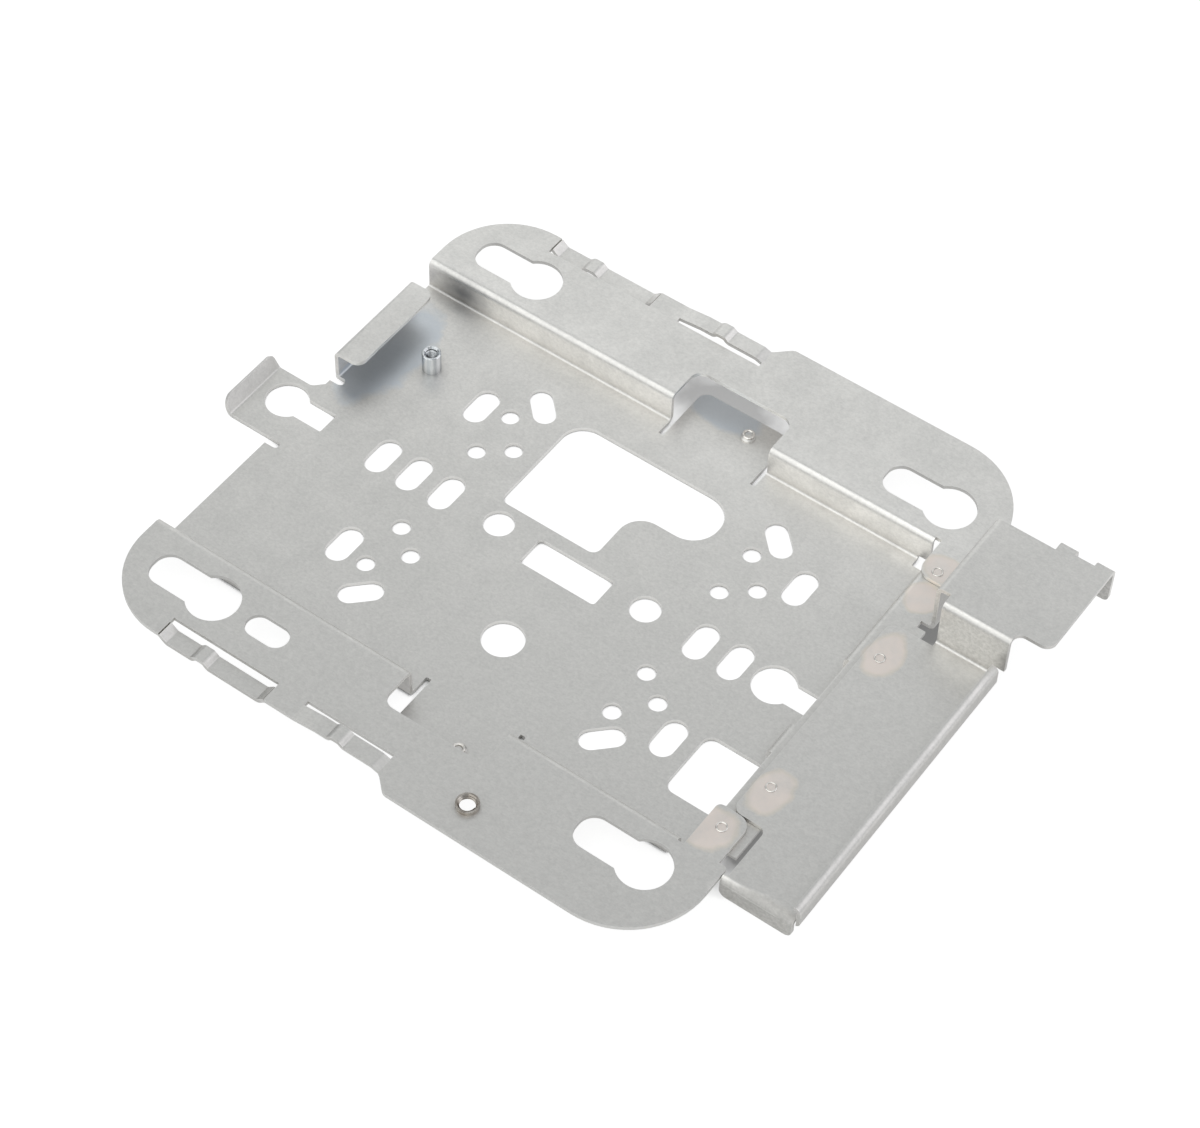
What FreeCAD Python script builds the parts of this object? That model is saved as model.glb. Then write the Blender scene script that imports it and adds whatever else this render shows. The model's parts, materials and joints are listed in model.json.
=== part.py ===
import FreeCAD, Part
import math
import os

# Stamped metal bracket for wall boxes: one folded and spot-welded sheet with two pressed-in inserts.
# The frame: millimetres, +Z up, +X toward the hooked end, +Y toward the raised plate's side.
# The origin is midway between the two middle bolt holes, on the underside of the pan floor.

# Sheet and folds
sheet = 1.2
bend = 0.8
lap_gap = 0.1
weld_diameter = 3.6

# Pan floor and side flanges
pan_left = -91.7
pan_right = 89.7
floor_half_width = 57.4
flange_rise = 9.5
flange_edge_margin = 17.15
flange_step = 4.4
flange_step_start = 4.3
flange_step_length = 4.6
flange_step_radius = 2.6
flange_left_radius = 22.5
flange_right_radius = 23.5

# Floor holes for one-gang and two-gang boxes
group_half_spacing = 40.0
group_column_half = 3.96
screw_hole_diameter = 5.3
screw_row_outer = 31.76
screw_row_inner = 16.49
screw_row_middle = 22.69
slot_width = 7.0
slot_length = 12.6
slot_outer_half = 52.53
slot_pitch = 10.91
slot_end_pitch = 10.55
slot_row = 30.03
corner_slot_x = 39.0
corner_slot_margin = 8.34
corner_slot_width = 6.5
corner_slot_length = 12.5
bolt_hole_half_spacing = 23.93
bolt_hole_diameter = 8.7
large_hole_diameter = 11.8
large_hole_y = -30.0

# Cable opening, an L with rounded ends, and the long window below it
cable_left = -28.6
cable_inner_right = 2.9
cable_right = 24.2
cable_bottom = 6.7
cable_top = 41.9
cable_arm_width = 17.1
cable_arm_flat = 0.7
cable_left_radius = 7.0
cable_small_radius = 2.5
window_left = -12.0
window_right = 12.3
window_bottom = -7.1
window_top = 2.5
window_radius = 1.0

# Square opening and keyhole that run through the end riser
square_offset = 7.37
square_bottom = -43.1
square_top = -22.8
square_radius = 3.0
riser_cut_reach = 1.1
floor_keyhole_offset = 12.07
tab_keyhole_offset = 4.8
keyhole_radius = 6.2
keyhole_slot_width = 7.2
keyhole_end_radius = 0.4
tab_keyhole_slot_reach = 9.6

# Flange keyholes, the short slot and the threaded insert beside them
flange_keyhole_margin = 11.25
flange_keyhole_left_inset = 28.4
flange_keyhole_right_inset = 16.9
flange_keyhole_radius = 7.4
flange_keyhole_width = 10.5
flange_keyhole_reach = 19.9
flange_keyhole_end_radius = 4.6
short_slot_offset = 17.9
short_slot_length = 12.9
short_slot_width = 7.2
nut_x = 28.0
nut_inset = 9.6
nut_collar_diameter = 6.2
nut_collar_rise = 1.1
nut_thread_diameter = 4.6
nut_head_diameter = 8.2
nut_head_height = 0.5
nut_chamfer = 0.3
nut_entry_chamfer = 1.1

# Notches in the flanges with flat tongues of the floor below them
notch_left = -8.4
notch_right = 23.4
notch_depth = 11.1
notch_radius = 3.5
slit_width = 1.6
slit_depth = 5.9
tongue_overhang = 1.6
tongue_radius = 3.0
button_side_inset = 11.2
button_end_inset = 6.5
button_diameter = 4.2
button_height = 0.9
button_bevel = 0.5
button_dent_diameter = 2.5

# Spring strips along the narrow flange edges
strip_width = 4.8
strip_slit = 1.5
strip_slope = 2.3
low_strip_offset = 2.0
low_strip_length = 34.7
low_strip_drop = 2.0
low_ridge_offset = 13.3
low_ridge_rise = 1.4
high_strip_length = 27.5
high_strip_rise = 0.8
high_strip_ramp = 7.0
high_ridge_offset = 13.5
high_ridge_rise = 1.9
ridge_top = 2.6

# Left tab with its turned-up end
tab_reach = 14.1
tab_front = -13.2
tab_back = 8.0
tab_lip_reach = 2.8
tab_lip_rise = 4.0
tab_lip_flat = 0.68
tab_flare_reach = 2.7
tab_flare_inset = 1.8
tab_flare_back = 12.6
tab_flare_radius = 2.0
tab_small_radius = 1.4
tab_relief_depth = 4.0
tab_relief_width = 2.3

# Back lip, a short channel on the floor's left edge
back_lip_front = 15.2
back_lip_back = 48.6
back_lip_return = 8.8
back_lip_radius = 3.0

# End riser and shelf, one sheet below the flanges' ears
riser_setback = 12.1
shelf_inset = 3.2
floor_relief_setback = 5.8
riser_window_half = 12.6
riser_window_sill = 3.2
wall_end_setback = 2.4
ear_setback = 0.5
ear_width = 10.1
ear_front_lap = 10.2
ear_back_lap = 7.8
ear_small_radius = 1.5
ear_large_radius = 3.8
ear_tip_radius = 1.0
ear_relief = 0.6
shelf_relief_setback = 2.8
shelf_relief_width = 2.4

# Raised plate, its two walls and the hooks on its rear edge
plate_rise = 24.8
plate_wall_setback = 0.3
plate_front = 30.2
plate_corner_inset = 4.2
plate_length = 33.6
plate_overhang = 4.3
plate_hook_step = 1.4
plate_nose_radius = 3.0
plate_wall_overlap = 2.8
plate_wall_gap = 1.2
plate_inner_radius = 2.4
hook_reach = 3.9
hook_inset = 15.8
hook_width = 5.0
hook_drop = 12.6
hook_radius = 1.6
tall_wall_margin = 0.5
tall_wall_step = 3.6
tall_wall_gap = 0.3

# Tray, the channel that lies on the shelf and runs past its edge
tray_offset = 3.2
tray_width = 32.2
tray_overhang = 3.7
tray_back_gap = 1.8
tray_notch_width = 10.3
tray_corner_radius = 3.0
tray_notch_radius = 2.0
tray_lip_rise = 7.0
tray_lip_return = 2.2
tray_lip_setback = 0.3
tray_lip_overhang = 1.6
apron_lap = 1.2
apron_setback = 1.9
apron_drop = 6.2
apron_radius = 2.2
tray_weld_inset = 4.1
tray_weld_front = -32.6
tray_weld_back = 17.0
ear_weld_inset = 4.7
ear_weld_front_inset = 5.6
ear_weld_back_inset = 3.1

# Threaded standoff pressed into the floor
standoff_inset = 19.8
standoff_y = 32.9
standoff_diameter = 5.4
standoff_height = 6.5
standoff_bore = 3.4
standoff_countersink = 0.5
standoff_chamfer = 0.2

# Working values
flange_top = flange_rise + sheet
shelf_mid = flange_rise - lap_gap - sheet / 2
floor_mid = sheet / 2
flange_mid = flange_rise + sheet / 2
plate_mid = plate_rise + sheet / 2
cut_low = -5.0
cut_high = plate_rise + 10.0
wall_outer = floor_half_width + sheet
overlap = 4.0
slit_end_radius = 0.45

# Places across the bracket that follow from the floor's width
flange_keyhole_row = wall_outer + flange_keyhole_margin
flange_narrow_half = flange_keyhole_row + flange_edge_margin
flange_wide_half = flange_narrow_half + flange_step
nut_y = nut_inset - flange_wide_half
notch_reach = wall_outer + notch_depth
slit_start = floor_half_width - slit_depth
tongue_reach = notch_reach + tongue_overhang
button_y = tongue_reach - button_end_inset
corner_slot_y = screw_row_outer + corner_slot_margin
relief_depth = wall_outer + ear_relief
shelf_half_width = floor_half_width - shelf_inset
ear_front_edge = ear_front_lap - shelf_half_width
ear_back_edge = shelf_half_width - ear_back_lap
tray_notch_edge = ear_front_edge + lap_gap
tray_front = -wall_outer - tray_overhang
tray_back = plate_front - tray_back_gap
tray_lip_back = tray_back - tray_lip_setback
plate_corner_y = plate_front + plate_corner_inset
plate_wall_rear = shelf_half_width + plate_wall_overlap
plate_back = wall_outer + plate_overhang
plate_hook_back = plate_back + plate_hook_step
hook_back = plate_back + hook_reach
shelf_relief_front = plate_corner_y - shelf_relief_width
cable_arm_bottom = cable_top - cable_arm_width
cable_arm_radius = (cable_arm_width - cable_arm_flat) / 2

# Places along the bracket that follow from its left end, its slots or its step
flange_keyhole_left = pan_left + flange_keyhole_left_inset
short_slot_x = flange_keyhole_left + short_slot_offset
low_strip_left = pan_left + flange_left_radius + low_strip_offset
low_strip_right = low_strip_left + low_strip_length
low_ridge_x = low_strip_left + low_ridge_offset
high_strip_right = flange_step_start
high_strip_left = high_strip_right - high_strip_length
high_ridge_x = high_strip_left + high_ridge_offset
flange_step_end = flange_step_start + flange_step_length
button_x = notch_right - button_side_inset
standoff_x = pan_left + standoff_inset
tab_left = pan_left - tab_reach
tab_lip_radius = math.hypot(tab_lip_reach, tab_lip_rise) - tab_lip_flat
tab_flare_left = pan_left - tab_flare_reach
tab_flare_right = pan_left + tab_flare_inset
tab_relief_right = pan_left + tab_relief_depth
tab_keyhole_x = pan_left - tab_keyhole_offset
tab_keyhole_slot_right = pan_left + tab_keyhole_slot_reach
slot_inner_half = slot_outer_half - slot_pitch
slot_end_x = -slot_outer_half - slot_end_pitch
floor_keyhole_x = slot_outer_half + floor_keyhole_offset
square_left = slot_outer_half + square_offset

# Places along the bracket that follow from its right end
flange_keyhole_right = pan_right - flange_keyhole_right_inset
riser_x = pan_right - riser_setback
floor_relief_left = riser_x - floor_relief_setback
wall_end = riser_x - wall_end_setback
riser_cut_right = riser_x + riser_cut_reach
ear_left = riser_x - ear_setback
ear_right = ear_left + ear_width
ear_weld_x = ear_left + ear_weld_inset
plate_wall_x = pan_right - plate_wall_setback
shelf_right = plate_wall_x - lap_gap
shelf_relief_left = plate_wall_x - shelf_relief_setback
plate_corner_x = plate_wall_x + plate_corner_inset
plate_right = plate_wall_x + plate_length
hook_left = plate_right - hook_inset
tray_left = riser_x + tray_offset
tray_right = tray_left + tray_width
tray_notch_right = tray_left + tray_notch_width
tray_weld_x = tray_left + tray_weld_inset
tall_wall_right = tray_right + tall_wall_margin
apron_left = tray_notch_right - apron_lap
apron_right = tray_right - apron_setback


def unit(ax, ay, bx, by):
    length = math.hypot(bx - ax, by - ay)
    return (bx - ax) / length, (by - ay) / length


def rounded_wire(corners, place):
    """Closed wire through (u, v, radius) corners, with tangent arcs; place maps (u, v) to a point."""
    count = len(corners)
    starts, middles, ends = [], [], []
    for i, (u, v, radius) in enumerate(corners):
        before = corners[i - 1]
        after = corners[(i + 1) % count]
        in_u, in_v = unit(u, v, before[0], before[1])
        out_u, out_v = unit(u, v, after[0], after[1])
        half = math.acos(max(-1.0, min(1.0, in_u * out_u + in_v * out_v))) / 2
        if radius <= 0 or half > math.pi / 2 - 1e-3:
            starts.append((u, v))
            middles.append(None)
            ends.append((u, v))
            continue
        reach = radius / math.tan(half)
        starts.append((u + in_u * reach, v + in_v * reach))
        ends.append((u + out_u * reach, v + out_v * reach))
        mid_u, mid_v = in_u + out_u, in_v + out_v
        scale = (radius / math.sin(half) - radius) / math.hypot(mid_u, mid_v)
        middles.append((u + mid_u * scale, v + mid_v * scale))
    edges = []
    for i in range(count):
        if middles[i]:
            arc = Part.Arc(place(*starts[i]), place(*middles[i]), place(*ends[i]))
            edges.append(arc.toShape())
        here, there = ends[i], starts[(i + 1) % count]
        if math.hypot(there[0] - here[0], there[1] - here[1]) > 1e-6:
            edges.append(Part.makeLine(place(*here), place(*there)))
    return Part.Wire(edges)


def prism(corners, low, high):
    """Upright prism over a plan outline of (x, y, radius) corners."""
    wire = rounded_wire(corners, lambda x, y: FreeCAD.Vector(x, y, low))
    return Part.Face(wire).extrude(FreeCAD.Vector(0, 0, high - low))


def box(x0, x1, y0, y1, low, high):
    return Part.makeBox(x1 - x0, y1 - y0, high - low, FreeCAD.Vector(x0, y0, low))


def cylinder(x, y, diameter, low, high):
    return Part.makeCylinder(diameter / 2, high - low, FreeCAD.Vector(x, y, low))


def rectangle(x0, x1, y0, y1, radius=0.0):
    return [(x0, y0, radius), (x1, y0, radius), (x1, y1, radius), (x0, y1, radius)]


def strip_outline(path):
    """Outline of a strip of sheet whose middle follows path, with concentric bend radii."""
    half = sheet / 2
    left, right = [], []
    last = len(path) - 1
    for i, (u, v) in enumerate(path):
        ahead = unit(u, v, *path[i + 1]) if i < last else unit(*path[i - 1], u, v)
        behind = unit(*path[i - 1], u, v) if i > 0 else ahead
        turn = behind[0] * ahead[1] - behind[1] * ahead[0]
        normal_u, normal_v = -(behind[1] + ahead[1]), behind[0] + ahead[0]
        size = math.hypot(normal_u, normal_v)
        reach = half / (size / 2)
        normal_u, normal_v = normal_u / size * reach, normal_v / size * reach
        inner, outer = bend, bend + sheet
        if i in (0, last) or abs(turn) < 1e-6:
            inner = outer = 0.0
        left_radius, right_radius = (inner, outer) if turn > 0 else (outer, inner)
        left.append((u + normal_u, v + normal_v, left_radius))
        right.append((u - normal_u, v - normal_v, right_radius))
    return left + right[::-1]


def fold_along_y(path, y0, y1):
    """Folded strip with its profile in X and Z, drawn out from y0 to y1."""
    wire = rounded_wire(strip_outline(path), lambda x, z: FreeCAD.Vector(x, y0, z))
    return Part.Face(wire).extrude(FreeCAD.Vector(0, y1 - y0, 0))


def fold_along_x(path, x0, x1):
    """Folded strip with its profile in Y and Z, drawn out from x0 to x1."""
    wire = rounded_wire(strip_outline(path), lambda y, z: FreeCAD.Vector(x0, y, z))
    return Part.Face(wire).extrude(FreeCAD.Vector(x1 - x0, 0, 0))


def slot_cut(x, y, length, width, angle, low=cut_low, high=cut_high):
    """Cutter for a slot with round ends; angle is the slot's direction in degrees from +X."""
    half = (length - width) / 2
    along = FreeCAD.Vector(math.cos(math.radians(angle)), math.sin(math.radians(angle)), 0)
    across = FreeCAD.Vector(-along.y, along.x, 0) * (width / 2)
    centre = FreeCAD.Vector(x, y, low)
    first, second = centre - along * half, centre + along * half
    edges = [
        Part.makeLine(first - across, second - across),
        Part.Arc(second - across, second + along * (width / 2), second + across).toShape(),
        Part.makeLine(second + across, first + across),
        Part.Arc(first + across, first - along * (width / 2), first - across).toShape(),
    ]
    return Part.Face(Part.Wire(edges)).extrude(FreeCAD.Vector(0, 0, high - low))


def keyhole_cut(x, y, radius, width, slot_x, end_radius):
    """Cutter for a round head at x with a slot that ends at slot_x."""
    head = cylinder(x, y, 2 * radius, cut_low, cut_high)
    x0, x1 = min(x, slot_x), max(x, slot_x)
    radii = (end_radius, 0.0) if slot_x < x else (0.0, end_radius)
    corners = [(x0, y - width / 2, radii[0]), (x1, y - width / 2, radii[1]),
               (x1, y + width / 2, radii[1]), (x0, y + width / 2, radii[0])]
    return head.fuse(prism(corners, cut_low, cut_high))


def flange_outline(side):
    """Plan outline of one side flange, with the S-shaped step in its outer edge."""
    inner = wall_outer + overlap
    corners = [
        (pan_left, inner, 0.0),
        (pan_left, flange_narrow_half, flange_left_radius),
        (flange_step_start, flange_narrow_half, flange_step_radius),
        (flange_step_end, flange_wide_half, flange_step_radius),
        (pan_right, flange_wide_half, flange_right_radius),
        (pan_right, inner, 0.0),
    ]
    return [(x, side * y, radius) for x, y, radius in corners]


def ear(side, inner_edge, left_radius, right_radius):
    """End of a flange that reaches in over the shelf, at flange level."""
    outer = wall_outer + overlap
    corners = [
        (wall_end - overlap, side * outer, 0.0),
        (wall_end - overlap, side * relief_depth, 0.0),
        (ear_left, side * relief_depth, 0.0),
        (ear_left, inner_edge, left_radius),
        (ear_right, inner_edge, right_radius),
        (ear_right, side * wall_outer, 0.0),
        (pan_right, side * wall_outer, ear_tip_radius),
        (pan_right, side * outer, 0.0),
    ]
    return prism(corners, flange_rise, flange_top)


def pan():
    """Floor, side walls and flanges, before any hole is cut."""
    arm = wall_outer + overlap + 1.0
    wall_mid = floor_half_width + sheet / 2
    path = [(-arm, flange_mid), (-wall_mid, flange_mid), (-wall_mid, floor_mid),
            (wall_mid, floor_mid), (wall_mid, flange_mid), (arm, flange_mid)]
    shape = fold_along_x(path, pan_left, wall_end)
    for side in (-1, 1):
        shape = shape.fuse(prism(flange_outline(side), flange_rise, flange_top))
    shape = shape.fuse(ear(-1, ear_front_edge, ear_small_radius, ear_large_radius))
    shape = shape.fuse(ear(1, ear_back_edge, ear_large_radius, ear_small_radius))
    relief = box(floor_relief_left, riser_x + overlap, -relief_depth, relief_depth,
                 cut_low, sheet + bend)
    keep = box(floor_relief_left - 1, riser_x + overlap + 1, -shelf_half_width, shelf_half_width,
               cut_low - 1, sheet + bend + 1)
    return shape.cut(relief.cut(keep))


def tongue(side):
    """Flat tongue of the floor under a flange notch, with its pressed button."""
    x0, x1 = notch_left + slit_width, notch_right - slit_width
    y0, y1 = slit_start - overlap, tongue_reach
    corners = [(x0, side * y0, 0.0), (x1, side * y0, 0.0),
               (x1, side * y1, tongue_radius), (x0, side * y1, tongue_radius)]
    plate = prism(corners, 0.0, sheet)
    button = cylinder(button_x, side * button_y, button_diameter, 0.0, sheet + button_height)
    rim = [e for e in button.Edges if e.BoundBox.ZMin > sheet + button_height - 1e-4]
    button = button.makeChamfer(button_bevel, rim)
    dent = cylinder(button_x, side * button_y, button_dent_diameter, cut_low, button_height)
    return plate.fuse(button).cut(dent)


def add_tongues(shape):
    """Cut both flange notches through the walls and lay the floor tongues in them."""
    for side in (-1, 1):
        corners = [(notch_left, side * slit_start, slit_end_radius),
                   (notch_right, side * slit_start, slit_end_radius),
                   (notch_right, side * notch_reach, notch_radius),
                   (notch_left, side * notch_reach, notch_radius)]
        shape = shape.cut(prism(corners, cut_low, cut_high))
        shape = shape.fuse(tongue(side))
    return shape


def strip_path(left, right, level, ridge_x, ridge_rise, ramp):
    """Middle line of a spring strip: a ramp at its left end, one ridge across it and a slope."""
    z = flange_mid + level
    peak = z + ridge_rise
    foot, top = ridge_top / 2 + abs(ridge_rise), ridge_top / 2
    return [(left, flange_mid), (left + ramp, z), (ridge_x - foot, z),
            (ridge_x - top, peak), (ridge_x + top, peak), (ridge_x + foot, z),
            (right - strip_slope, z), (right, flange_mid)]


def add_strips(shape):
    """Lance the four spring strips free of the flange edges and form them."""
    low = strip_path(low_strip_left, low_strip_right, -low_strip_drop,
                     low_ridge_x, low_ridge_rise, strip_slope)
    high = strip_path(high_strip_left, high_strip_right, high_strip_rise,
                      high_ridge_x, high_ridge_rise - high_strip_rise, high_strip_ramp)
    outer = flange_narrow_half
    inner = outer - strip_width
    for side in (-1, 1):
        for path in (low, high):
            left, right = path[0][0], path[-1][0]
            y0, y1 = sorted((side * (inner - strip_slit), side * (outer + 1.0)))
            shape = shape.cut(box(left, right, y0, y1, flange_rise - 1, flange_top + 1))
            y0, y1 = sorted((side * inner, side * outer))
            shape = shape.fuse(fold_along_y(path, y0, y1))
    return shape


def left_tab():
    """Tab beyond the floor's left edge, flared where it joins and turned up at its end."""
    path = [(tab_flare_left - overlap / 2, floor_mid), (tab_left, floor_mid),
            (tab_left - tab_lip_reach, floor_mid + tab_lip_rise)]
    end = fold_along_y(path, tab_front, tab_back)
    corner = [e for e in end.Edges
              if abs(e.Length - sheet) < 1e-3 and e.BoundBox.XMax < tab_left
              and e.BoundBox.YMax < tab_front + 1e-3]
    end = end.makeFillet(tab_lip_radius, corner)
    corner = [e for e in end.Edges
              if abs(e.Length - sheet) < 1e-3 and e.BoundBox.XMax < tab_left
              and e.BoundBox.YMin > tab_back - 1e-3]
    end = end.makeFillet(tab_small_radius, corner)
    root = pan_left + overlap
    corners = [(tab_flare_left - overlap, tab_front, 0.0), (root, tab_front, 0.0),
               (root, tab_flare_back, 0.0), (tab_flare_right, tab_flare_back, tab_flare_radius),
               (tab_flare_left, tab_back, tab_flare_radius),
               (tab_flare_left - overlap, tab_back, 0.0)]
    return end.fuse(prism(corners, 0.0, sheet))


def tab_reliefs():
    """Round-ended notches on both sides of the tab's root."""
    front = slot_cut(pan_left - 2, tab_front - tab_relief_width / 2,
                     2 * (tab_relief_right - pan_left + 2), tab_relief_width, 0)
    back = slot_cut(pan_left - 2, (tab_flare_back + back_lip_front) / 2,
                    2 * (tab_relief_right - pan_left + 2), back_lip_front - tab_flare_back, 0)
    return front.fuse(back)


def back_lip():
    """Short channel on the floor's left edge, open toward the pan."""
    wall_mid = pan_left + sheet / 2
    edge = pan_left + back_lip_return
    path = [(pan_left + overlap * 2, floor_mid), (wall_mid, floor_mid),
            (wall_mid, flange_mid), (edge, flange_mid)]
    shape = fold_along_y(path, back_lip_front, back_lip_back)
    tips = [e for e in shape.Edges
            if abs(e.Length - sheet) < 1e-3 and e.BoundBox.XMin > edge - 1e-3
            and e.BoundBox.ZMin > flange_rise - 1e-3]
    return shape.makeFillet(back_lip_radius, tips)


def shelf():
    """Riser at the floor's end and the shelf that lies under both ears."""
    path = [(floor_relief_left - 3, floor_mid), (riser_x, floor_mid),
            (riser_x, shelf_mid), (shelf_right, shelf_mid)]
    shape = fold_along_y(path, -shelf_half_width, shelf_half_width)
    relief = rectangle(shelf_relief_left, shelf_right + 1, shelf_relief_front, plate_corner_y)
    return shape.cut(prism(relief, cut_low, shelf_mid + sheet))


def plate_wall():
    """Upright wall from the shelf's right edge to the raised plate, and the plate's left part."""
    wall_mid = plate_wall_x + sheet / 2
    path = [(shelf_relief_left - 1, shelf_mid), (wall_mid, shelf_mid),
            (wall_mid, plate_mid), (plate_corner_x + 3, plate_mid)]
    shape = fold_along_y(path, plate_corner_y, plate_back)
    clear = box(shelf_relief_left - 2, plate_corner_x, plate_wall_rear, plate_back + 1,
                cut_low, flange_top + plate_wall_gap)
    under_ear = box(shelf_relief_left - 2, plate_corner_x, shelf_half_width, plate_wall_rear + 1,
                    cut_low, flange_rise - lap_gap / 2)
    return shape.cut(clear).cut(under_ear)


def raised_plate():
    """Flat of the raised plate with its notched rear edge."""
    second = plate_right - hook_width
    corners = [
        (plate_corner_x, plate_corner_y, 0.0),
        (plate_corner_x, plate_front + bend + sheet, 0.0),
        (tall_wall_right, plate_front + bend + sheet, 0.0),
        (tall_wall_right, plate_corner_y, plate_inner_radius),
        (plate_right, plate_corner_y, plate_nose_radius),
        (plate_right, hook_back - bend - sheet, 0.0),
        (second, hook_back - bend - sheet, 0.0),
        (second, plate_hook_back, 0.0),
        (hook_left + hook_width, plate_hook_back, 0.0),
        (hook_left + hook_width, hook_back - bend - sheet, 0.0),
        (hook_left, hook_back - bend - sheet, 0.0),
        (hook_left, plate_back, 0.0),
        (plate_corner_x, plate_back, 0.0),
    ]
    return prism(corners, plate_rise, plate_rise + sheet)


def hook(left):
    """Turned-down hook on the raised plate's rear edge."""
    y_mid = hook_back - sheet / 2
    bottom = plate_rise + sheet - hook_drop
    path = [(plate_back - 5, plate_mid), (y_mid, plate_mid), (y_mid, bottom)]
    shape = fold_along_x(path, left, left + hook_width)
    tips = [e for e in shape.Edges
            if abs(e.Length - sheet) < 1e-3 and e.BoundBox.ZMax < bottom + 1e-3]
    return shape.makeFillet(hook_radius, tips)


def tall_wall():
    """Wall between the raised plate and the tray, with its foot cut clear of the tray's lip."""
    y_mid = plate_front + sheet / 2
    path = [(tray_back - 3, flange_mid), (y_mid, flange_mid),
            (y_mid, plate_mid), (plate_corner_y, plate_mid)]
    shape = fold_along_x(path, plate_corner_x, tall_wall_right)
    foot = box(tray_right - tray_lip_return - tall_wall_gap, tall_wall_right + 1, tray_back - 4,
               plate_corner_y, cut_low, flange_mid + tall_wall_step)
    return shape.cut(foot)


def tray():
    """Tray floor with its upright lip and its hanging apron."""
    right = tray_right - sheet - bend
    front = tray_front + sheet + bend
    corners = [
        (tray_left, tray_notch_edge, tray_corner_radius),
        (tray_notch_right, tray_notch_edge, tray_notch_radius),
        (tray_notch_right, front, 0.0),
        (right, front, 0.0),
        (right, tray_back, 0.0),
        (tray_left, tray_back, tray_corner_radius),
    ]
    floor = prism(corners, flange_rise, flange_top)
    lip_mid = tray_right - sheet / 2
    top = flange_mid + tray_lip_rise - sheet / 2
    path = [(right - 3, flange_mid), (lip_mid, flange_mid), (lip_mid, top),
            (tray_right - tray_lip_return, top)]
    lip = fold_along_y(path, front - tray_lip_overhang, tray_lip_back)
    corner = box(right - 4, lip_mid - sheet / 2, front - tray_lip_overhang, front,
                 flange_rise - 1, flange_top + bend)
    lip = lip.cut(corner)
    y_mid = tray_front + sheet / 2
    bottom = flange_top - sheet / 2 - apron_drop
    path = [(front + 3, flange_mid), (y_mid, flange_mid), (y_mid, bottom)]
    apron = fold_along_x(path, apron_left, apron_right)
    tips = [e for e in apron.Edges
            if abs(e.Length - sheet) < 1e-3 and e.BoundBox.ZMax < bottom + 1e-3]
    apron = apron.makeFillet(apron_radius, tips)
    spare = box(apron_left - 1, tray_notch_right, front, front + 4, flange_rise - 2, flange_top + 1)
    return floor.fuse(lip).fuse(apron.cut(spare))


def welds():
    """Spot welds that join the ears and the tray to the shelf."""
    places = [
        (ear_weld_x, ear_front_edge - ear_weld_front_inset),
        (ear_weld_x, ear_back_edge + ear_weld_back_inset),
        (tray_weld_x, tray_weld_front),
        (tray_weld_x, tray_weld_back),
    ]
    return [cylinder(x, y, weld_diameter, shelf_mid, flange_mid) for x, y in places]


def floor_holes():
    """Cutters for the box holes and slots in the floor."""
    cutters = []
    for group in (-group_half_spacing, group_half_spacing):
        for row in (screw_row_outer, screw_row_inner):
            for y in (-row, row):
                cutters.append((group - group_column_half, y))
        for y in (-screw_row_middle, screw_row_middle):
            cutters.append((group + group_column_half, y))
    cutters = [cylinder(x, y, screw_hole_diameter, cut_low, cut_high) for x, y in cutters]
    for x in (slot_end_x, -slot_outer_half, -slot_inner_half, slot_inner_half, slot_outer_half):
        cutters.append(slot_cut(x, 0, slot_length, slot_width, 90))
    for side in (-1, 1):
        for x in (-slot_outer_half, slot_outer_half):
            cutters.append(slot_cut(x, side * slot_row, slot_length, slot_width, 90))
        for x in (-corner_slot_x, corner_slot_x):
            cutters.append(slot_cut(x, side * corner_slot_y, corner_slot_length,
                                    corner_slot_width, -side * 45))
        cutters.append(cylinder(side * bolt_hole_half_spacing, 0, bolt_hole_diameter,
                                cut_low, cut_high))
    cutters.append(cylinder(0, large_hole_y, large_hole_diameter, cut_low, cut_high))
    cutters.append(cylinder(standoff_x, standoff_y, standoff_diameter, cut_low, cut_high))
    return cutters


def floor_windows():
    """Cutters for the windows in the floor and the riser, and for the two keyholes."""
    cable = [
        (cable_left, cable_bottom, cable_small_radius),
        (cable_inner_right, cable_bottom, cable_small_radius),
        (cable_inner_right, cable_arm_bottom, cable_left_radius),
        (cable_right, cable_arm_bottom, cable_arm_radius),
        (cable_right, cable_top, cable_arm_radius),
        (cable_left, cable_top, cable_left_radius),
    ]
    square = [(square_left, square_bottom, square_radius), (riser_cut_right, square_bottom, 0.0),
              (riser_cut_right, square_top, 0.0), (square_left, square_top, square_radius)]
    window = rectangle(window_left, window_right, window_bottom, window_top, window_radius)
    lap_level = flange_rise - lap_gap / 2
    keyhole = keyhole_cut(floor_keyhole_x, 0, keyhole_radius, keyhole_slot_width,
                          riser_cut_right, keyhole_end_radius)
    keyhole = keyhole.common(box(0, pan_right, -floor_half_width, floor_half_width, cut_low, lap_level))
    tab = keyhole_cut(tab_keyhole_x, 0, keyhole_radius, keyhole_slot_width,
                      tab_keyhole_slot_right, keyhole_end_radius)
    riser_window = box(wall_end, riser_cut_right, -riser_window_half, riser_window_half,
                       riser_window_sill, lap_level)
    return [prism(cable, cut_low, cut_high), prism(window, cut_low, cut_high),
            prism(square, cut_low, lap_level), keyhole, tab, riser_window]


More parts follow.
